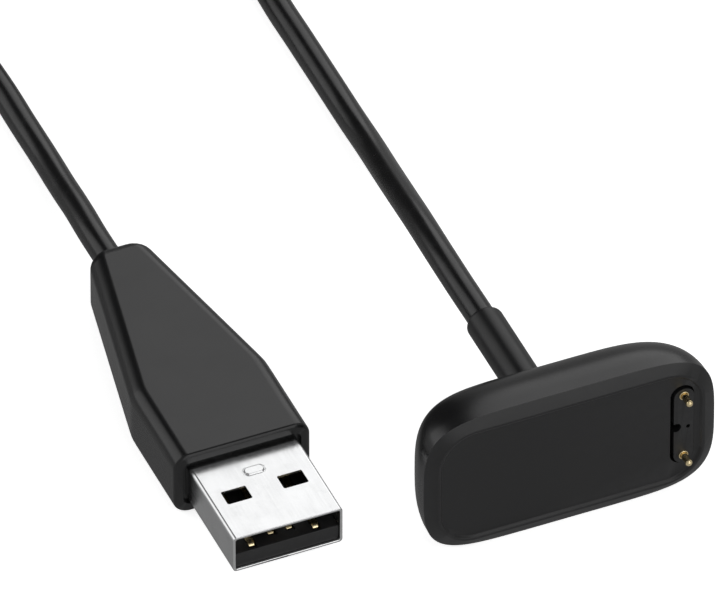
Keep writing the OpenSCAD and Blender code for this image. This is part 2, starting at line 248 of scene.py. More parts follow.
def slotLoop(bm, radius, y, x=0.0, z=0.0, half=0.0, count=32):
    # circle facing the front, pulled apart upwards and downwards into a slot
    turned = Matrix.Translation((x, y, z)) @ Matrix.Rotation(math.pi / 2, 4, "X")
    spun = turned @ Matrix.Rotation(math.pi / count, 4, "Z")
    verts = bmesh.ops.create_circle(bm, segments=count, radius=radius, matrix=spun)["verts"]
    for v in verts:
        v.co.z += math.copysign(half, v.co.z - z)
    return list({e for v in verts for e in v.link_edges})


def pushLoop(bm, edges, step):
    geom = bmesh.ops.extrude_edge_only(bm, edges=edges)["geom"]
    verts = onlyVerts(geom)
    bmesh.ops.translate(bm, verts=verts, vec=step)
    return onlyEdges(geom, verts)


def prism(bm, radius, front, back, x=0.0, z=0.0, half=0.0, count=32):
    edges = slotLoop(bm, radius, front, x, z, half, count)
    capLoop(bm, edges)
    capLoop(bm, pushLoop(bm, edges, (0, back - front, 0)))


def block(bm, low, high):
    low, high = Vector(low), Vector(high)
    size = Matrix.Diagonal((*(high - low), 1))
    return bmesh.ops.create_cube(bm, size=1, matrix=Matrix.Translation((low + high) / 2) @ size)["verts"]


def arc(centreR, centreY, radius, start, end, steps=6):
    # points of a profile, as distance from the axis and place along it
    angles = [math.radians(start + (end - start) * i / steps) for i in range(steps + 1)]
    return [(centreR + radius * math.cos(a), centreY + radius * math.sin(a)) for a in angles]


def spinProfile(bm, profile, steps=48):
    verts = [bm.verts.new((r, y, 0)) for r, y in profile]
    edges = [bm.edges.new(pair) for pair in zip(verts, verts[1:])]
    bmesh.ops.spin(bm, geom=verts + edges, cent=(0, 0, 0), axis=(0, 1, 0), dvec=(0, 0, 0),
                   angle=2 * math.pi, steps=steps, use_merge=True, use_duplicate=False)
    bmesh.ops.remove_doubles(bm, verts=bm.verts, dist=1e-4)


def placed(bm, origin):
    bmesh.ops.transform(bm, matrix=Matrix.Translation(origin) @ Matrix.Scale(mm, 4), verts=bm.verts)


def shade(piece, sharp):
    piece.data.shade_smooth()
    piece.data.set_sharp_from_angle(angle=math.radians(sharp))


def finishPiece(name, bm, origin, material, stands, body=leadBody, sharp=32.0):
    bmesh.ops.recalc_face_normals(bm, faces=bm.faces)
    placed(bm, origin)
    mesh = bpy.data.meshes.new(name)
    bm.to_mesh(mesh)
    bm.free()
    piece = bpy.data.objects.new(name, mesh)
    bpy.context.scene.collection.objects.link(piece)
    mesh.materials.append(material)
    shade(piece, sharp)
    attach(piece, body)
    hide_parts(*stands)
    return piece


def carve(piece, cutter, origin, operation, sharp=32.0):
    # the cutter is used once and thrown away
    placed(cutter, origin)
    bmesh.ops.recalc_face_normals(cutter, faces=cutter.faces)
    mesh = bpy.data.meshes.new("cutter")
    cutter.to_mesh(mesh)
    cutter.free()
    tool = bpy.data.objects.new("cutter", mesh)
    bpy.context.scene.collection.objects.link(tool)
    cut = piece.modifiers.new("cut", "BOOLEAN")
    cut.operation = operation
    cut.solver = "EXACT"
    cut.use_self = True
    cut.object = tool
    seen = piece.evaluated_get(bpy.context.evaluated_depsgraph_get())
    carved = bpy.data.meshes.new_from_object(seen)
    piece.modifiers.remove(cut)
    old = piece.data
    piece.data = carved
    bpy.data.meshes.remove(old)
    carved.name = piece.name
    bpy.data.objects.remove(tool)
    bpy.data.meshes.remove(mesh)
    shade(piece, sharp)


def softenEdges(piece, width, segments=2, angle=35.0):
    edge = piece.modifiers.new("edge", "BEVEL")
    edge.width = width * mm
    edge.segments = segments
    edge.limit_method = "ANGLE"
    edge.angle_limit = math.radians(angle)
    edge.profile = 0.5


def flattenShading(piece):
    # keeps large flat faces flat where they meet small roundings
    even = piece.modifiers.new("even", "WEIGHTED_NORMAL")
    even.keep_sharp = True
    even.weight = 100


def newMaterial(name):
    material = bpy.data.materials.new(name)
    material.use_nodes = True
    tree = material.node_tree
    shader = tree.nodes["Principled BSDF"]
    where = tree.nodes.new("ShaderNodeTexCoord")
    return material, tree, shader, where


def noiseOf(tree, where, scale, detail=3.0, rough=0.5, stretch=(1, 1, 1), offset=(0, 0, 0)):
    spread = tree.nodes.new("ShaderNodeMapping")
    spread.inputs["Scale"].default_value = stretch
    spread.inputs["Location"].default_value = offset
    tree.links.new(where.outputs["Object"], spread.inputs["Vector"])
    noise = tree.nodes.new("ShaderNodeTexNoise")
    noise.inputs["Scale"].default_value = scale
    noise.inputs["Detail"].default_value = detail
    noise.inputs["Roughness"].default_value = rough
    tree.links.new(spread.outputs["Vector"], noise.inputs["Vector"])
    return noise.outputs["Fac"]


def toRange(tree, value, low, high, fromLow=0.3, fromHigh=0.7):
    ranged = tree.nodes.new("ShaderNodeMapRange")
    for key, number in (("From Min", fromLow), ("From Max", fromHigh), ("To Min", low), ("To Max", high)):
        ranged.inputs[key].default_value = number
    tree.links.new(value, ranged.inputs["Value"])
    return ranged.outputs["Result"]


def twoColours(tree, share, first, second):
    mix = tree.nodes.new("ShaderNodeMix")
    mix.data_type = "RGBA"
    mix.inputs["A"].default_value = (*first, 1)
    mix.inputs["B"].default_value = (*second, 1)
    tree.links.new(share, mix.inputs["Factor"])
    return mix.outputs["Result"]


def addUp(tree, first, second, operation="ADD"):
    both = tree.nodes.new("ShaderNodeMath")
    both.operation = operation
    tree.links.new(first, both.inputs[0])
    tree.links.new(second, both.inputs[1])
    return both.outputs["Value"]


def scaled(tree, value, by, operation="MULTIPLY"):
    sized = tree.nodes.new("ShaderNodeMath")
    sized.operation = operation
    sized.inputs[1].default_value = by
    tree.links.new(value, sized.inputs[0])
    return sized.outputs["Value"]


def bumpOf(tree, height, depth, strength=1.0, under=None):
    bump = tree.nodes.new("ShaderNodeBump")
    bump.inputs["Distance"].default_value = depth
    bump.inputs["Strength"].default_value = strength
    tree.links.new(height, bump.inputs["Height"])
    if under is not None:
        tree.links.new(under, bump.inputs["Normal"])
    return bump.outputs["Normal"]


def edgeWear(tree, low=0.505, high=0.56):
    shape = tree.nodes.new("ShaderNodeNewGeometry")
    return toRange(tree, shape.outputs["Pointiness"], 0, 1, low, high)


headPlastic = {
    "base": (0.0070, 0.0070, 0.0074), "worn": (0.022, 0.022, 0.023),
    "rough": (0.23, 0.27), "specular": 0.46,
    "grainScale": 5200, "grainDepth": 0.0000022, "waveScale": 160, "waveDepth": 0.000008,
}
platePlastic = {
    "base": (0.0095, 0.0095, 0.0099), "worn": (0.024, 0.024, 0.025),
    "rough": (0.32, 0.37), "specular": 0.42,
    "grainScale": 6500, "grainDepth": 0.0000022, "waveScale": 150, "waveDepth": 0.000012,
}
gripPlastic = {
    "base": (0.0075, 0.0075, 0.0079), "worn": (0.024, 0.024, 0.025),
    "rough": (0.23, 0.27), "specular": 0.5,
    "grainScale": 4200, "grainDepth": 0.0000030, "waveScale": 130, "waveDepth": 0.000008,
}
darkPlastic = {
    "base": (0.0090, 0.0090, 0.0094), "worn": (0.022, 0.022, 0.023),
    "rough": (0.38, 0.5), "specular": 0.4,
    "grainScale": 7000, "grainDepth": 0.0000020, "waveScale": 300, "waveDepth": 0.000006,
}
reliefRubber = {
    "base": (0.0080, 0.0080, 0.0084), "worn": (0.022, 0.022, 0.023),
    "rough": (0.32, 0.38), "specular": 0.42,
    "grainScale": 5600, "grainDepth": 0.0000034, "waveScale": 260, "waveDepth": 0.000010,
}


def mouldedPlastic(name, look):
    # fine spark texture over a faint shrink wave, rubbed lighter on the edges
    material, tree, shader, where = newMaterial(name)
    wear = addUp(tree, edgeWear(tree), noiseOf(tree, where, 900, 4, 0.6), "MULTIPLY")
    cloud = noiseOf(tree, where, 220, 4, 0.55)
    tree.links.new(twoColours(tree, wear, look["base"], look["worn"]), shader.inputs["Base Color"])
    tree.links.new(toRange(tree, cloud, *look["rough"]), shader.inputs["Roughness"])
    wave = bumpOf(tree, noiseOf(tree, where, look["waveScale"], 1), look["waveDepth"], 0.35)
    grain = bumpOf(tree, noiseOf(tree, where, look["grainScale"], 2, 0.6), look["grainDepth"], 0.7, wave)
    tree.links.new(grain, shader.inputs["Normal"])
    shader.inputs["Specular IOR Level"].default_value = look["specular"]
    return material


jacketRubber = {
    "base": (0.0075, 0.0075, 0.0079), "scuff": (0.014, 0.014, 0.015),
    "rough": (0.22, 0.28), "specular": 0.5, "sheen": 0.02,
}


def cableRubber(name, look):
    # extruded skin: soft mottling and a fine matt grain
    material, tree, shader, where = newMaterial(name)
    scuff = toRange(tree, noiseOf(tree, where, 700, 5, 0.65), 0, 1, 0.55, 0.72)
    tree.links.new(twoColours(tree, scuff, look["base"], look["scuff"]), shader.inputs["Base Color"])
    rough = toRange(tree, noiseOf(tree, where, 420, 4), *look["rough"])
    tree.links.new(rough, shader.inputs["Roughness"])
    skin = bumpOf(tree, noiseOf(tree, where, 1300, 2), 0.000004, 0.5)
    grain = bumpOf(tree, noiseOf(tree, where, 6800, 2), 0.0000026, 0.6, skin)
    tree.links.new(grain, shader.inputs["Normal"])
    shader.inputs["Specular IOR Level"].default_value = look["specular"]
    shader.inputs["Sheen Weight"].default_value = look["sheen"]
    shader.inputs["Sheen Roughness"].default_value = 0.4
    return material


goldFinish = {"bright": (1.0, 0.83, 0.50), "dull": (0.90, 0.70, 0.36), "rough": (0.16, 0.28)}
steelFinish = {"bright": (0.81, 0.815, 0.82), "dull": (0.75, 0.755, 0.76), "rough": (0.19, 0.27)}
nickelFinish = {"bright": (0.72, 0.70, 0.67), "dull": (0.5, 0.49, 0.47), "rough": (0.16, 0.3)}
tinFinish = {"bright": (0.66, 0.67, 0.68), "dull": (0.45, 0.45, 0.46), "rough": (0.3, 0.45)}


def platedMetal(name, look, brushAlong=(1, 1, 1), brushScale=2600, brushDepth=0.0000008):
    # thin plating: faint tarnish clouds and a drawn or brushed grain
    material, tree, shader, where = newMaterial(name)
    shader.inputs["Metallic"].default_value = 1
    tarnish = toRange(tree, noiseOf(tree, where, 480, 5, 0.6), 0, 1, 0.5, 0.78)
    tree.links.new(twoColours(tree, tarnish, look["bright"], look["dull"]), shader.inputs["Base Color"])
    brush = noiseOf(tree, where, brushScale, 3, 0.6, brushAlong)
    clouds = noiseOf(tree, where, 300, 3)
    mixed = addUp(tree, brush, clouds, "MULTIPLY")
    tree.links.new(toRange(tree, mixed, *look["rough"], 0.12, 0.4), shader.inputs["Roughness"])
    tree.links.new(bumpOf(tree, brush, brushDepth, 0.6), shader.inputs["Normal"])
    return material


def circuitMaterial(name):
    # solder mask over faint tracks, with copper showing as lighter green
    material, tree, shader, where = newMaterial(name)
    tracks = tree.nodes.new("ShaderNodeTexBrick")
    tracks.inputs["Scale"].default_value = 700
    tracks.inputs["Mortar Size"].default_value = 0.06
    tree.links.new(where.outputs["Object"], tracks.inputs["Vector"])
    tree.links.new(twoColours(tree, tracks.outputs["Fac"], (0.008, 0.07, 0.03), (0.03, 0.17, 0.07)),
                   shader.inputs["Base Color"])
    tree.links.new(toRange(tree, noiseOf(tree, where, 900, 3), 0.18, 0.34), shader.inputs["Roughness"])
    tree.links.new(bumpOf(tree, tracks.outputs["Fac"], 0.00002, 0.4), shader.inputs["Normal"])
    shader.inputs["Coat Weight"].default_value = 0.4
    return material


def coreMaterial(name, base, mottle):
    # thin insulation on a core, a little waxy
    material, tree, shader, where = newMaterial(name)
    colour = twoColours(tree, noiseOf(tree, where, 1500, 3), base, mottle)
    tree.links.new(colour, shader.inputs["Base Color"])
    tree.links.new(toRange(tree, noiseOf(tree, where, 800, 3), 0.3, 0.45), shader.inputs["Roughness"])
    tree.links.new(bumpOf(tree, noiseOf(tree, where, 5000, 2), 0.000002, 0.5), shader.inputs["Normal"])
    return material


def strapMaterial(name):
    # woven hook-and-loop tape: ribs both ways under a soft nap
    material, tree, shader, where = newMaterial(name)
    ribs = []
    for direction, scale in (("X", 2300), ("Y", 1700)):
        rib = tree.nodes.new("ShaderNodeTexWave")
        rib.bands_direction = direction
        rib.inputs["Scale"].default_value = scale
        rib.inputs["Distortion"].default_value = 0.6
        tree.links.new(where.outputs["Object"], rib.inputs["Vector"])
        ribs.append(rib.outputs["Fac"])
    weave = addUp(tree, ribs[0], ribs[1], "MULTIPLY")
    nap = noiseOf(tree, where, 4200, 5, 0.7)
    tree.links.new(twoColours(tree, weave, (0.008, 0.008, 0.009), (0.03, 0.03, 0.032)),
                   shader.inputs["Base Color"])
    tree.links.new(bumpOf(tree, nap, 0.00004, 0.6, bumpOf(tree, weave, 0.00006, 0.8)),
                   shader.inputs["Normal"])
    shader.inputs["Roughness"].default_value = 0.85
    shader.inputs["Sheen Weight"].default_value = 0.5
    shader.inputs["Sheen Roughness"].default_value = 0.5
    return material


shellBlack = mouldedPlastic("shellBlack", headPlastic)
plateBlack = mouldedPlastic("plateBlack", platePlastic)
gripBlack = mouldedPlastic("gripBlack", gripPlastic)
carrierBlack = mouldedPlastic("carrierBlack", darkPlastic)
reliefBlack = mouldedPlastic("reliefBlack", reliefRubber)
jacketBlack = cableRubber("jacketBlack", jacketRubber)
contactGold = platedMetal("contactGold", goldFinish, (1, 0.2, 1), 4000)
shellSteel = platedMetal("shellSteel", steelFinish, (1, 0.03, 1), 5200, 0.0000010)
magnetNickel = platedMetal("magnetNickel", nickelFinish)
crimpTin = platedMetal("crimpTin", tinFinish, (1, 0.1, 1), 3000)
springSteel = platedMetal("springSteel", tinFinish, (1, 1, 1), 6000)
boardGreen = circuitMaterial("boardGreen")
coreRed = coreMaterial("coreRed", (0.45, 0.02, 0.015), (0.32, 0.012, 0.01))
coreBlack = coreMaterial("coreBlack", (0.010, 0.010, 0.011), (0.02, 0.02, 0.021))
mouldWhite = coreMaterial("mouldWhite", (0.66, 0.63, 0.55), (0.56, 0.53, 0.46))
strapBlack = strapMaterial("strapBlack")
chargeCable.data.materials.append(jacketBlack)
print("materials mixed")


housing = {
    "width": (shellHigh.x - shellLow.x) / mm,
    "height": (shellHigh.z - shellLow.z) / mm,
    "depth": (shellHigh.y - shellLow.y) / mm,
    "wall": 1.2,
    "bows": (6, 3.4),          # how square the rim is across its width and its height
    "bowsLost": (2, 0.8),      # how much of that the back has lost
    "narrowSide": 8.5,         # how far the dome draws in by its back
    "narrowTop": 6.9,
    "power": 2.2,
    "holeRadius": 2.03,
    "segments": 128,
    "steps": 26,
    "lastStep": 0.94,          # where the dome gives way to the flat round the sleeve
}


def domeRing(look, share, inset=0.0, y=None):
    depth = look["depth"] - inset
    narrow = 2 * depth / look["depth"]
    angle = share * math.pi / 2
    shrink = 1 - max(0.0, math.cos(angle)) ** (2 / look["power"])
    if y is None:
        y = depth * math.sin(angle) ** (2 / look["power"])
    bows = [bow - lost * shrink for bow, lost in zip(look["bows"], look["bowsLost"])]
    return softRing(look["width"] - 2 * inset - look["narrowSide"] * shrink * narrow,
                    look["height"] - 2 * inset - look["narrowTop"] * shrink * narrow, bows, y)


def makeHousing(look):
    holeZ = (reliefOrigin.z - headOrigin.z) / mm
    hole, depth, wall = look["holeRadius"], look["depth"], look["wall"]
    shares = [look["lastStep"] * i / look["steps"] for i in range(look["steps"] + 1)]
    rings = [domeRing(look, 0, wall), domeRing(look, 0, 0.015, 0), domeRing(look, 0, 0, 0.015)]
    rings += [domeRing(look, share) for share in shares if share > 0.06]
    rings += [circleRing(hole + 0.15, depth - 0.04, 0, holeZ), circleRing(hole, depth - 0.1, 0, holeZ),
              circleRing(hole, depth - wall - 0.1, 0, holeZ)]
    rings += [domeRing(look, share, wall) for share in reversed(shares[1:])]
    bm = bmesh.new()
    loftRound(bm, rings, look["segments"])
    return finishPiece("headShell", bm, headOrigin, shellBlack, ["head_rear_shell"])


facePlate = {
    "rise": 0.7,               # crest of the bezel in front of the rim
    "crestIn": 1.3,
    "crestWidth": 0.22,
    "panelDrop": 0.25,
    "slopeWidth": 0.35,        # soft slope from the crest down to the panel
    "lipIn": 1.32,
    "lipDepth": 1.2,
    "corner": 5.6,
    "slotShift": (-0.15, 0.15),    # middle of the slot from the middle of the contacts
    "slotRadius": 1.3,
    "slotHalf": 3.85,
    "slotEdge": 0.02,
    "slotPoints": 48,
}


def makeFacePlate(look, outer):
    width, height = outer["width"], outer["height"]
    crestY, panelY = -look["rise"], look["panelDrop"] - look["rise"]
    innerIn = look["crestIn"] + look["crestWidth"]

    def inset(amount, y):
        return roundRing(width - 2 * amount, height - 2 * amount, look["corner"] - amount, y)

    rings = [inset(innerIn + look["slopeWidth"] * (1 - share),
                   panelY - look["panelDrop"] * (0.5 - 0.5 * math.cos(math.pi * share)))
             for share in (i / 8 for i in range(9))]
    rings += [inset(look["crestIn"] + 0.06, crestY),
              inset(look["crestIn"] - 0.03, crestY + 0.03)]
    for less, y in ((0.06, -0.02), (0, 0), (2 * look["lipIn"], 0), (2 * look["lipIn"], look["lipDepth"])):
        rings.append(softRing(width - less, height - less, outer["bows"], y))
    bm = bmesh.new()
    front, back = loft(bm, rings, outer["segments"])
    radius, edge = look["slotRadius"], look["slotEdge"]
    slot = (pinX + look["slotShift"][0], look["slotShift"][1], look["slotHalf"], look["slotPoints"])
    mouth = slotLoop(bm, radius + edge, panelY, *slot)
    throat = slotLoop(bm, radius, panelY + edge, *slot)
    outlet = slotLoop(bm, radius, look["lipDepth"], *slot)
    bmesh.ops.bridge_loops(bm, edges=mouth + throat)
    bmesh.ops.bridge_loops(bm, edges=throat + outlet)
    for edges, way in ((front + mouth, -1), (back + outlet, 1)):
        bmesh.ops.triangle_fill(bm, edges=edges, use_beauty=True, use_dissolve=False, normal=(0, way, 0))
    piece = finishPiece("headFacePlate", bm, headOrigin, plateBlack, ["head_face_plate"])
    flattenShading(piece)
    return piece


carrier = {
    "islandRadius": 1.1, "islandHalf": 3.83, "islandShift": (0.05, -0.13), "islandY": -0.45,
    "moatY": 0.9, "baseRadius": 1.29, "baseHalf": 3.85, "baseShift": (-0.15, 0.15), "backY": 3.67,
    "barrelRadius": 0.535, "barrelRoom": 0.66, "roomFront": 0.84, "holeBack": 1.5,
    "pointsRound": 64,
    "keyHole": (-0.8, -0.2, 0.54), "ventHole": (0.52, -0.35, 0.22),      # across, up, radius
}


def makeCarrier(look):
    # the island stands clear of the slot on two sides, and both sit on one base
    base, island, slot, holes = bmesh.new(), bmesh.new(), bmesh.new(), bmesh.new()
    front, moat, count = look["islandY"], look["moatY"], look["pointsRound"]
    shape = (pinX + look["islandShift"][0], look["islandShift"][1], look["islandHalf"], count)
    prism(island, look["islandRadius"], front, moat + 0.3, *shape)
    shape = (pinX + look["baseShift"][0], look["baseShift"][1], look["baseHalf"], count)
    prism(slot, look["baseRadius"], front - 1, moat + 1, *shape)
    prism(base, look["baseRadius"], moat, look["backY"], *shape)
    for side in (1, -1):
        prism(holes, look["barrelRadius"], front - 1, look["holeBack"] - 0.1, pinX, side * pinZ)
        prism(holes, look["barrelRoom"], look["roomFront"], look["backY"] + 1.33, pinX, side * pinZ)
    for across, up, radius in (look["keyHole"], look["ventHole"]):
        prism(holes, radius, front - 1, look["holeBack"], pinX + across, up)
    piece = finishPiece("contactCarrier", island, headOrigin, carrierBlack,
                        ["pin_carrier"])
    carve(piece, slot, headOrigin, "INTERSECT")
    carve(piece, base, headOrigin, "UNION")
    carve(piece, holes, headOrigin, "DIFFERENCE")
    softenEdges(piece, 0.015, 2, 50)
    return piece


contact = {
    "neckRadius": 0.525, "bodyRadius": 0.65, "neckFront": -0.63, "bodyFront": 0.85, "bodyBack": 3.7,
    "lip": 0.068, "throat": 0.2, "boreRadius": 0.42, "springBore": 0.5, "floor": 0.25,
    "tailRadius": 0.225, "tailBack": 4.75,
    "tip": -2.2, "ball": 0.39, "stem": 0.36, "collar": 0.46, "collarLong": 0.5,
    "steps": 40,
}


def makeBarrel(name, look, side, stands):
    # hollow sleeve with a rounded lip in front and a solder tail behind
    bm = bmesh.new()
    tail, body, back, lip = look["tailRadius"], look["bodyRadius"], look["bodyBack"], look["lip"]
    bore, room, front, floor = look["boreRadius"], look["springBore"], look["bodyFront"], look["floor"]
    profile = [(0, look["tailBack"]), (tail - 0.06, look["tailBack"]), (tail, look["tailBack"] - 0.08),
               (tail, back), (body - 0.05, back), (body, back - 0.05),
               (body, front), (look["neckRadius"], front)]
    profile += arc(look["neckRadius"] - lip, look["neckFront"] + lip, lip, 0, -180, 8)
    profile += [(bore, look["neckFront"] + look["throat"]), (bore, front), (room, front),
                (room, back - floor), (0, back - floor)]
    spinProfile(bm, profile, look["steps"])
    origin = headOrigin + Vector((pinX, 0, side * pinZ)) * mm
    return finishPiece(name, bm, origin, contactGold, stands, leadBody, 40)


def makePlunger(name, look, side, stands, body):
    # ball on a thin stem, held by a collar that rests against the front of the sleeve's room
    bm = bmesh.new()
    stem, collar = look["stem"], look["collar"]
    ballY = look["tip"] + look["ball"]
    front = look["bodyFront"] + 0.03
    back = front + look["collarLong"]
    profile = arc(0, ballY, look["ball"], -90, 22, 12)
    profile += [(stem, ballY + 0.24), (stem, front), (collar - 0.03, front), (collar, front + 0.03),
                (collar, back - 0.05), (collar - 0.05, back), (0, back)]
    spinProfile(bm, profile, look["steps"])
    origin = headOrigin + Vector((pinX, 0, side * pinZ)) * mm
    return finishPiece(name, bm, origin, contactGold, stands, body, 40)


spring = {
    "radius": 0.38, "wire": 0.05, "front": 1.44, "back": 3.37, "turns": 6, "perTurn": 14,
    "pressed": 0.4,            # share of its length that is left when the contact is pressed in
}


def makeSpring(name, look, side, stands):
    middle = headOrigin + Vector((pinX, 0, side * pinZ)) * mm
    steps = look["turns"] * look["perTurn"]
    route = []
    for i in range(steps + 1):
        angle = 2 * math.pi * i / look["perTurn"]
        along = look["front"] + (look["back"] - look["front"]) * i / steps
        place = Vector((look["radius"] * math.cos(angle), along, look["radius"] * math.sin(angle)))
        route.append(middle + place * mm)
    piece = layTube(name, route, look["wire"] * mm, 2, 2)[0]
    piece.data.materials.append(springSteel)
    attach(piece, leadBody)
    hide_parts(*stands)
    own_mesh(piece)
    return piece


relief = {
    "radius": 2.0, "end": (reliefHigh.y - shellLow.y) / mm, "shoulder": 0.5,
    "flange": 3.0, "flangeFront": 6.2, "flangeBack": 7.0, "bore": 1.53, "along": (12.0, 16.0),
}


def makeRelief(look):
    bm = bmesh.new()
    bore, radius, shoulder, end = look["bore"], look["radius"], look["shoulder"], look["end"]
    flange, front = look["flange"], look["flangeFront"]
    profile = [(bore, front), (flange - 0.1, front), (flange, front + 0.1), (flange, look["flangeBack"]),
               (radius, look["flangeBack"])]
    profile += [(radius, y) for y in look["along"]]
    profile += arc(radius - shoulder, end - shoulder, shoulder, 0, 70, 8)
    profile += [(bore, end - 0.06), (bore, front)]
    spinProfile(bm, profile, 64)
    return finishPiece("strainRelief", bm, reliefOrigin, reliefBlack, ["strain_relief"])


makeHousing(housing)
makeFacePlate(facePlate, housing)
makeCarrier(carrier)
for side, word in ((1, "upper"), (-1, "lower")):
    makeBarrel("contactBarrel_" + word, contact, side, ["pogo_barrel_" + word])
    makePlunger("contactPlunger_" + word, contact, side, ["pogo_plunger_" + word], "plunger_" + word)
    makeSpring("contactSpring_" + word, spring, side, ["pogo_spring_" + word])
makeRelief(relief)
print("charging head built")


grip = {
    "front": (gripLow.y - steelLow.y) / mm,
    "end": (gripHigh.y - steelLow.y) / mm,
    "width": (gripHigh.x - gripLow.x) / mm,
    "height": (gripHigh.z - gripLow.z) / mm,
    "straight": 11.3,
    "taper": 0.2,
    "ease": 0.45,               # how gently the straight turns into the taper
    "edge": 1.75,
    "frontEdge": 0.4,
    "backEdge": 2.2,
    "stepIn": 0.4,
    "stepDeep": 0.5,
    "stations": (3, 7, 9, 10, 10.6, 11, 11.3, 11.6, 12, 12.7, 14, 17, 21, 26),
    "steelGap": 0.06,
    "pocketEnd": 19.1, "mouldEnd": 29.0, "clampEnd": 36.03,
    "mould": (11.06, 5.46, 0.5), "clampRadius": 2.13, "cableRadius": 1.53,
    "segments": 96,
}


def gripRing(look, y, inset):
    past = y - look["front"] - look["straight"]
    eased = (past + math.sqrt(past * past + look["ease"] ** 2)) / 2
    width = look["width"] - 2 * look["taper"] * eased - 2 * inset
    height = look["height"] - 2 * inset
    return roundRing(width, height, min(look["edge"], width / 2 - 0.05) - inset * 0.45, y)


def makeGrip(look):
    # from the pocket for the steel shell, out over the grip and in again along the cable's bore
    front, end = look["front"], look["end"]
    wide = (steelHigh.x - steelLow.x) / mm + look["steelGap"]
    tall = steelShell["height"] + look["steelGap"]
    stepY = front + look["stepDeep"]
    stepWide, stepTall = wide + 2 * look["stepIn"], tall + 2 * look["stepIn"]
    rings = [roundRing(wide, tall, 0.6, look["pocketEnd"]), roundRing(wide, tall, 0.6, stepY),
             roundRing(stepWide, stepTall, 0.8, stepY), roundRing(stepWide, stepTall, 0.8, front + 0.08),
             roundRing(stepWide + 0.12, stepTall + 0.12, 0.86, front)]
    for a in range(0, 91, 15):
        back, out = 1 - math.cos(math.radians(a)), 1 - math.sin(math.radians(a))
        rings.append(gripRing(look, front + look["frontEdge"] * back, look["frontEdge"] * out))
    rings += [gripRing(look, front + y, 0) for y in look["stations"]]
    for a in range(0, 91, 9):
        back, out = 1 - math.sin(math.radians(a)), 1 - math.cos(math.radians(a))
        rings.append(gripRing(look, end - look["backEdge"] * back, look["backEdge"] * out))
    bore, clamp = look["cableRadius"], look["clampRadius"]
    rings += [circleRing(bore + 0.1, end), circleRing(bore, end - 0.1),
              circleRing(bore, look["clampEnd"]), circleRing(clamp, look["clampEnd"]),
              circleRing(clamp, look["mouldEnd"]),
              roundRing(*look["mould"], look["mouldEnd"]), roundRing(*look["mould"], look["pocketEnd"])]
    bm = bmesh.new()
    loftRound(bm, rings, look["segments"])
    piece = finishPiece("plugGrip", bm, plugOrigin, gripBlack, ["plug_overmould"],
                        sharp=40)
    flattenShading(piece)
    return piece


steelShell = {
    "width": (steelHigh.x - steelLow.x) / mm, "height": 4.5, "end": 19.0, "sheet": 0.3, "corner": 0.4,
    "windowX": (1.73, 4.43), "windowY": (5.03, 7.03), "windowCorner": 0.2,
    "markY": 8.8, "markLong": 2.4, "markWide": 1.25, "markTall": 0.14, "markSlope": 0.8,
    "markGroove": 0.09, "grooveDeep": 0.05, "markSlant": 0.34,
    "seam": 0.05, "seamDeep": 0.22,
}


def makeSteelShell(look):
    # outside and inside of the folded sheet, joined by a rounded front edge
    width, height, sheet, corner = look["width"], look["height"], look["sheet"], look["corner"]
    wide, tall, bend = width - 2 * sheet, height - 2 * sheet, corner - sheet * 0.6
    rings = [roundRing(width, height, corner, 0.07),
             roundRing(width - 0.05, height - 0.05, corner - 0.02, 0.015),
             roundRing(width - 0.14, height - 0.14, corner - 0.07, 0),
             roundRing(wide + 0.16, tall + 0.16, bend + 0.07, 0),
             roundRing(wide + 0.04, tall + 0.04, bend + 0.02, 0.04),
             roundRing(wide, tall, bend, 0.12), roundRing(wide, tall, bend, look["end"]),
             roundRing(width, height, corner, look["end"])]
    bm = bmesh.new()
    loftRound(bm, rings, 64)
    piece = finishPiece("plugShell", bm, plugOrigin, shellSteel, ["plug_shell"])
    holes = bmesh.new()
    for side in (1, -1):
        xs = sorted(side * x for x in look["windowX"])
        verts = block(holes, (xs[0], look["windowY"][0], -4), (xs[1], look["windowY"][1], 4))
        upright = [e for e in {e for v in verts for e in v.link_edges}
                   if abs(e.verts[0].co.z - e.verts[1].co.z) > 1]
        bmesh.ops.bevel(holes, geom=upright, affect="EDGES", offset=look["windowCorner"], segments=4,
                        profile=0.5, material=-1)
    half = look["seam"] / 2
    block(holes, (-half, -1, -3), (half, look["end"] + 1, look["seamDeep"] - height / 2))
    carve(piece, holes, plugOrigin, "DIFFERENCE")
    groove, mark, top = bmesh.new(), bmesh.new(), height / 2
    raiseMark(groove, look, look["markGroove"], top - look["grooveDeep"], top + 0.1, 1)
    raiseMark(mark, look, 0, top - 0.1, top + look["markTall"], look["markSlope"])
    carve(piece, groove, plugOrigin, "DIFFERENCE")
    carve(piece, mark, plugOrigin, "UNION")
    softenEdges(piece, 0.03, 2)
    flattenShading(piece)
    return piece


def raiseMark(bm, look, wider, low, high, shrink):
    # flat octagon with slanting ends, drawn in by its top
    length, width, y = look["markLong"] + 2 * wider, look["markWide"] + 2 * wider, look["markY"]
    middle = Matrix.Translation((0, y, low))
    size = Matrix.Diagonal((length / 2, width / 2, 1, 1))
    verts = bmesh.ops.create_circle(bm, segments=8, radius=1, cap_ends=True,
                                    matrix=middle @ size @ Matrix.Rotation(math.pi / 8, 4, "Z"))["verts"]
    for v in verts:
        v.co.x = math.copysign(max(abs(v.co.x), length * look["markSlant"]), v.co.x)
    risen = onlyVerts(bmesh.ops.extrude_face_region(bm, geom=list(bm.faces))["geom"])
    bmesh.ops.translate(bm, verts=risen, vec=(0, 0, high - low))
    bmesh.ops.scale(bm, verts=risen, vec=(shrink ** 0.6, shrink, 1),
                    space=Matrix.Translation((0, -y, 0)))


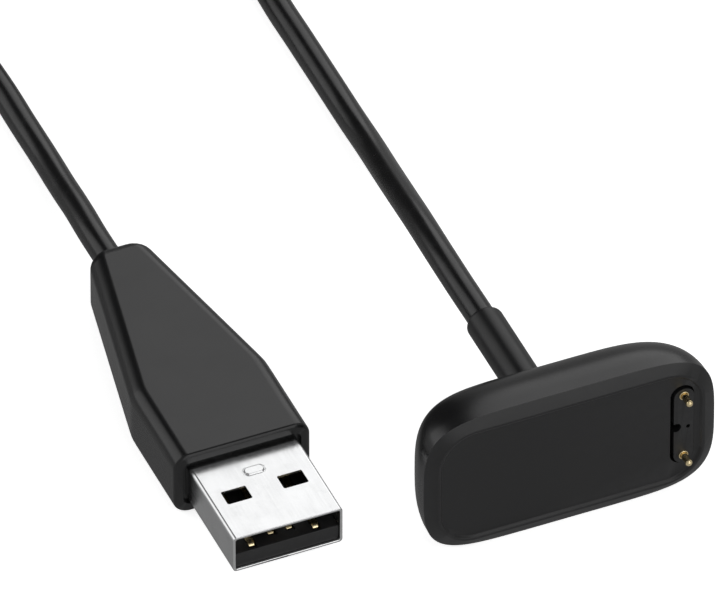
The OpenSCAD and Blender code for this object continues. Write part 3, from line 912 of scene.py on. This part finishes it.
tongue = {
    "width": 11.34, "low": -1.92, "top": -0.2, "front": 0.3, "end": 17.0,
    "chamfer": 0.06, "underside": 0.3,
    "contactX": (-3.5, -1.0, 1.0, 3.5), "contactWide": 0.78, "contactThick": 0.25,
    "contactFront": (1.1, 2.05, 2.05, 1.1), "contactEnd": 20.5, "proud": 0.03, "noseRound": 0.42,
    "grooveAhead": 0.5, "grooveGap": 0.06, "grooveDeep": 0.26,
}


def makeTongue(look):
    bm = bmesh.new()
    half, low, top = look["width"] / 2, look["low"], look["top"]
    block(bm, (-half, look["front"], low), (half, look["end"], top))
    nose = [e for e in bm.edges if all(v.co.y < 1 and v.co.z > top - 0.1 for v in e.verts)]
    bmesh.ops.bevel(bm, geom=nose, affect="EDGES", offset=look["chamfer"], segments=1,
                    profile=0.5, material=-1)
    lower = [e for e in bm.edges if all(v.co.z < low + 0.1 for v in e.verts)
             and abs(e.verts[0].co.y - e.verts[1].co.y) > 5]
    bmesh.ops.bevel(bm, geom=lower, affect="EDGES", offset=look["underside"], segments=4,
                    profile=0.5, material=-1)
    piece = finishPiece("plugTongue", bm, plugOrigin, carrierBlack, ["plug_tongue"])
    grooves = bmesh.new()
    half = look["contactWide"] / 2 + look["grooveGap"]
    for x, front in zip(look["contactX"], look["contactFront"]):
        block(grooves, (x - half, front - look["grooveAhead"], top - look["grooveDeep"]),
              (x + half, look["end"] + 1, 1))
    carve(piece, grooves, plugOrigin, "DIFFERENCE")
    softenEdges(piece, 0.04, 2)
    return piece


def makeContact(i, look):
    # flat strip whose nose is cut on a slant and rounded
    bm = bmesh.new()
    x, front, half = look["contactX"][i], look["contactFront"][i], look["contactWide"] / 2
    high = look["top"] + look["proud"]
    low = high - look["contactThick"]
    strip = block(bm, (x - half, front, low), (x + half, look["contactEnd"], high))
    for v in strip:
        if v.co.y < front + 0.01 and v.co.z > high - 0.01:
            v.co.y += look["contactThick"]
    tip = [e for e in {e for v in strip for e in v.link_edges}
           if all(v.co.y < front + 0.3 for v in e.verts) and abs(e.verts[0].co.z - e.verts[1].co.z) > 0.1]
    bmesh.ops.bevel(bm, geom=tip, affect="EDGES", offset=half * look["noseRound"], segments=6,
                    profile=0.5, material=-1)
    return finishPiece(f"plugContact_{i + 1}", bm, plugOrigin, contactGold,
                       [f"plug_contact_{i + 1}"], sharp=50)


plugGrip = makeGrip(grip)
plugShell = makeSteelShell(steelShell)
plugTongue = makeTongue(tongue)
plugContacts = [makeContact(i, tongue) for i in range(4)]
print("plug built")


tie = {
    "width": 5.0, "thick": 0.6, "corner": 1.4,
    "tabLong": 9.0, "tabThick": 0.5, "tabFrom": 0.8, "tabEdge": 0.18,
}


def makeTie(look):
    # a loop round the turns, with its free end laid back along the top
    low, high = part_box("coil_tie")
    deep, tall = (high.y - low.y) / mm, (high.z - low.z) / mm
    half, thick = look["width"] / 2, look["thick"]
    bm = bmesh.new()
    rings = [roundRing(deep - 2 * inward, tall - 2 * inward, look["corner"] - inward * 0.8, y)
             for y, inward in ((-half, 0), (half, 0), (half, thick), (-half, thick))]
    loftRound(bm, rings, 48)
    start = look["tabFrom"] - deep / 2
    tab = block(bm, (start, -half, tall / 2),
                (start + look["tabLong"], half, tall / 2 + look["tabThick"]))
    bmesh.ops.bevel(bm, geom=list({e for v in tab for e in v.link_edges}), affect="EDGES",
                    offset=look["tabEdge"], segments=3, profile=0.5, material=-1)
    bmesh.ops.rotate(bm, verts=bm.verts, cent=(0, 0, 0), matrix=Matrix.Rotation(math.pi / 2, 3, "Z"))
    piece = finishPiece("coilTie", bm, (low + high) / 2, strapBlack, ["coil_tie"],
                        sharp=50)
    softenEdges(piece, 0.12, 2, 60)
    return piece


coilTie = makeTie(tie)
print("coil tied")


# the pieces inside keep their shape and only get a finish
insideFinish = {
    "circuit_board": boardGreen, "magnet_pin_end": magnetNickel, "magnet_far_end": magnetNickel,
    "magnet_yoke": crimpTin, "cable_anchor": crimpTin, "head_wire_red": coreRed,
    "head_wire_black": coreBlack, "plug_inner_mould": mouldWhite, "plug_cable_clamp": crimpTin,
    "plug_wire_red": coreRed, "plug_wire_black": coreBlack,
}
for node, material in insideFinish.items():
    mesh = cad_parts[node].data
    mesh.materials.clear()
    mesh.materials.append(material)
print("inner pieces finished")


studio = {
    "floorSize": 4.0, "floorGrey": 0.86, "floorGlow": 0.78,
    "skyTop": 0.18, "skyLow": 0.32, "topEdges": (0.8, 0.98),
    "skyGap": 0.03, "gapLean": 0.1, "gapEdges": (0.23, 0.44), "aheadEdges": (-0.2, 0.3),
    "floorBelow": 0.2, "belowEdges": (-0.56, -0.34),
    # heading from +Y towards +X and height in degrees, metres away, width and height, radiance
    "boxes": [
        ("backRight", 38, 38, 0.9, 0.64, 0.78, 1.03),
        ("backLeft", -60, 28, 0.9, 0.92, 0.8, 0.85),
        ("front", 162, 15, 0.9, 1.04, 0.38, 1.0),
        ("frontTop", 160, 48, 0.9, 0.60, 0.36, 1.3),
    ],
}


def makeFloor(look):
    bm = bmesh.new()
    bmesh.ops.create_grid(bm, x_segments=2, y_segments=2, size=look["floorSize"] / 2)
    mesh = bpy.data.meshes.new("studioFloor")
    bm.to_mesh(mesh)
    bm.free()
    floor = bpy.data.objects.new("studioFloor", mesh)
    bpy.context.scene.collection.objects.link(floor)
    material, tree, shader, where = newMaterial("floorPaper")
    grey = look["floorGrey"]
    paper = twoColours(tree, noiseOf(tree, where, 40, 3), [grey] * 3, [grey * 0.985] * 3)
    tree.links.new(paper, shader.inputs["Base Color"])
    shader.inputs["Roughness"].default_value = 0.9
    shader.inputs["Specular IOR Level"].default_value = 0.1
    shader.inputs["Emission Color"].default_value = (1, 1, 1, 1)
    shader.inputs["Emission Strength"].default_value = look["floorGlow"]
    mesh.materials.append(material)
    floor.visible_glossy = False        # black plastic would otherwise mirror the white floor


def makeLights(look):
    for name, heading, height, away, width, tall, radiance in look["boxes"]:
        heading, height = math.radians(heading), math.radians(height)
        toLamp = Vector((math.sin(heading) * math.cos(height), math.cos(heading) * math.cos(height),
                         math.sin(height)))
        lamp = bpy.data.lights.new(name, "AREA")
        lamp.shape = "RECTANGLE"
        lamp.size, lamp.size_y = width, tall
        lamp.energy = radiance * math.pi * width * tall
        holder = bpy.data.objects.new(name, lamp)
        bpy.context.scene.collection.objects.link(holder)
        holder.location = view["lookAt"] + toLamp * away
        holder.rotation_mode = "QUATERNION"
        holder.rotation_quaternion = (-toLamp).to_track_quat("-Z", "Y")
        holder.visible_camera = False
    world = bpy.data.worlds.new("studioSky")
    world.use_nodes = True
    tree = world.node_tree
    where = tree.nodes.new("ShaderNodeTexCoord")
    split = tree.nodes.new("ShaderNodeSeparateXYZ")
    tree.links.new(where.outputs["Generated"], split.inputs["Vector"])
    # an even glow with one dark upright gap behind the object, between the two back boxes, and the
    # paper's glow again under it
    lean = addUp(tree, split.outputs["X"], scaled(tree, split.outputs["Y"], look["gapLean"]))
    aside = toRange(tree, scaled(tree, lean, 1, "ABSOLUTE"), 0, 1, *look["gapEdges"])
    ahead = toRange(tree, split.outputs["Y"], 1, 0, *look["aheadEdges"])
    glow = toRange(tree, addUp(tree, aside, ahead, "MAXIMUM"), look["skyGap"], look["skyLow"], 0, 1)
    below = toRange(tree, split.outputs["Z"], look["floorBelow"], 0, *look["belowEdges"])
    glow = addUp(tree, glow, below, "MAXIMUM")
    rise = toRange(tree, split.outputs["Z"], 0, 1, *look["topEdges"])
    above = tree.nodes.new("ShaderNodeMix")
    tree.links.new(rise, above.inputs["Factor"])
    tree.links.new(glow, above.inputs["A"])
    above.inputs["B"].default_value = look["skyTop"]
    tree.links.new(above.outputs["Result"], tree.nodes["Background"].inputs["Color"])
    bpy.context.scene.world = world


makeFloor(studio)
makeLights(studio)
bpy.context.scene.view_settings.view_transform = "Standard"
print("studio lit")
